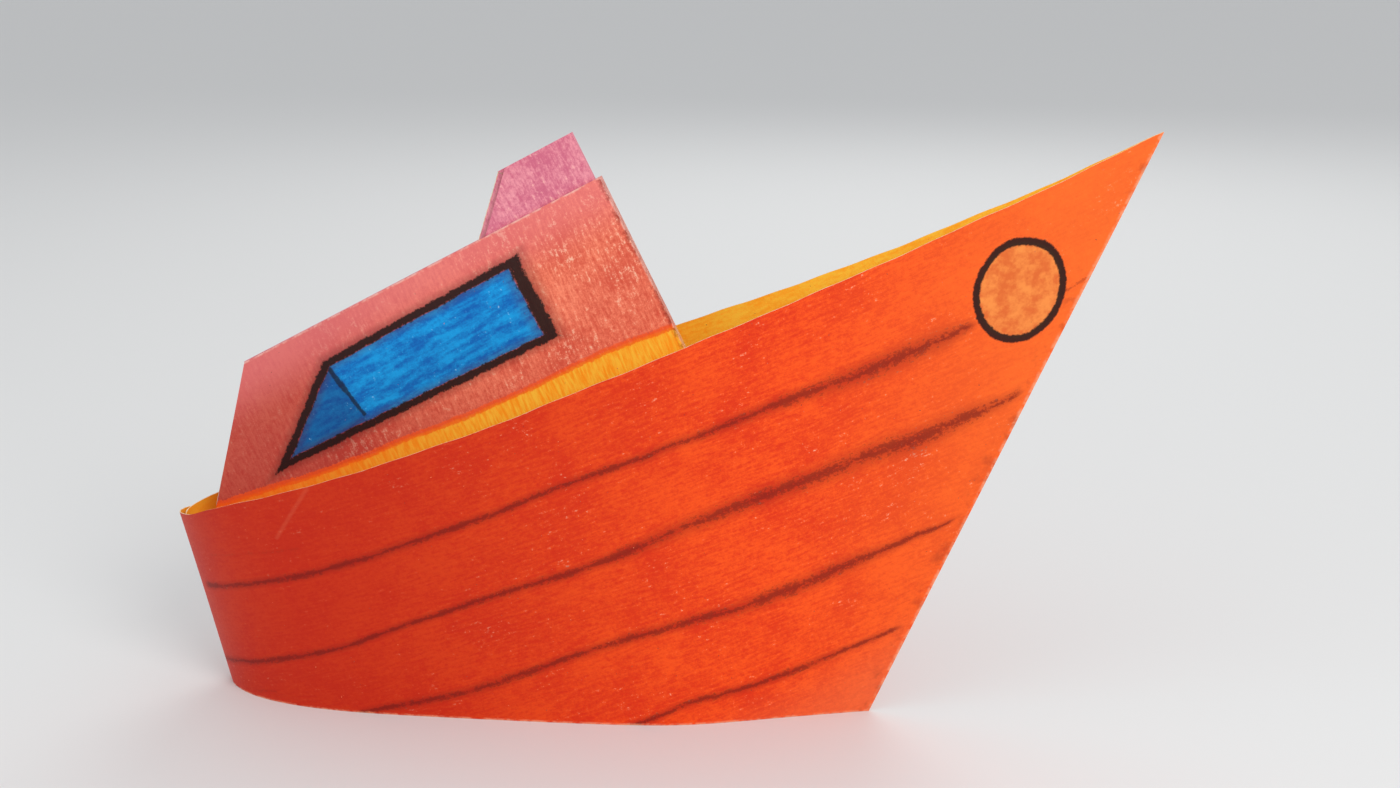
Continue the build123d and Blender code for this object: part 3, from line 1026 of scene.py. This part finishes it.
def floor_object():
    form = bmesh.new()
    bmesh.ops.create_grid(form, x_segments=1, y_segments=1, size=FLOOR_HALF_SIDE)
    mesh = bpy.data.meshes.new("floor")
    form.to_mesh(mesh)
    form.free()
    mesh.transform(Matrix.Translation((0, 0, -FLOOR_GAP)))
    made = bpy.data.objects.new("floor", mesh)
    bpy.context.scene.collection.objects.link(made)
    plain = bpy.data.materials.new("pale_floor")
    plain.use_nodes = True
    shader = plain.node_tree.nodes["Principled BSDF"]
    shader.inputs["Base Color"].default_value = paint(226, 226, 224)
    shader.inputs["Roughness"].default_value = 0.8
    mesh.materials.append(plain)
    return made


floor = floor_object()
print("floor, m:", 2 * FLOOR_HALF_SIDE)

# %% The pale room around it
world = bpy.data.worlds.new("studio")
bpy.context.scene.world = world
world.use_nodes = True
background = world.node_tree.nodes["Background"]
background.inputs["Color"].default_value = paint(236, 238, 242)
background.inputs["Strength"].default_value = 0.75
bpy.context.scene.view_settings.view_transform = "Standard"
print("world strength:", background.inputs["Strength"].default_value)


# %% Lights
def soft_light(name, place, target, size, power):
    lamp = bpy.data.lights.new(name, "AREA")
    lamp.shape, lamp.size, lamp.energy = "DISK", size, power
    made = bpy.data.objects.new(name, lamp)
    made.location = place
    made.rotation_euler = (Vector(target) - Vector(place)).to_track_quat("-Z", "Y").to_euler()
    bpy.context.scene.collection.objects.link(made)
    return made


middle = (sheet_low + sheet_high) / 2
key = soft_light("key_light", (0.6, -0.75, 0.7), middle, 0.6, 6.0)
fill = soft_light("fill_light", (-0.7, -0.5, 0.5), middle, 0.8, 1.2)
back = soft_light("back_light", (0.1, 0.9, 0.8), middle, 0.8, 2.5)
print("lights:", key.name, fill.name, back.name)

# %% [markdown]
# ## The camera
#
# The boat is seen from starboard, a little from ahead and from above. Instead of aiming by eye,
# the camera's matrix is built from a heading, a pitch and a slight roll: three directions that
# stand square to each other.

# %% Camera
LENS, SENSOR_WIDTH = 46.3, 36.0             # mm
CAMERA_PLACE = Vector((0.0751, -0.4292, 0.1992))
HEADING, PITCH, ROLL = radians(8), radians(15), radians(-0.3)
lens = bpy.data.cameras.new("camera")
lens.lens, lens.sensor_width = LENS, SENSOR_WIDTH
camera = bpy.data.objects.new("camera", lens)
level = Vector((cos(HEADING), sin(HEADING), 0))
sight = Vector((-sin(HEADING) * cos(PITCH), cos(HEADING) * cos(PITCH), -sin(PITCH)))
upright = level.cross(sight)
right = level * cos(ROLL) + upright * sin(ROLL)
up = upright * cos(ROLL) - level * sin(ROLL)
turned = Matrix((right, up, -sight)).transposed().to_4x4()
camera.matrix_world = Matrix.Translation(CAMERA_PLACE) @ turned
bpy.context.scene.collection.objects.link(camera)
bpy.context.scene.camera = camera
print("camera to boat, m:", round((CAMERA_PLACE - middle).length, 3))

# %% [markdown]
# ## The sheet's box
#
# The finer sheet must fill the same box as the packed model.
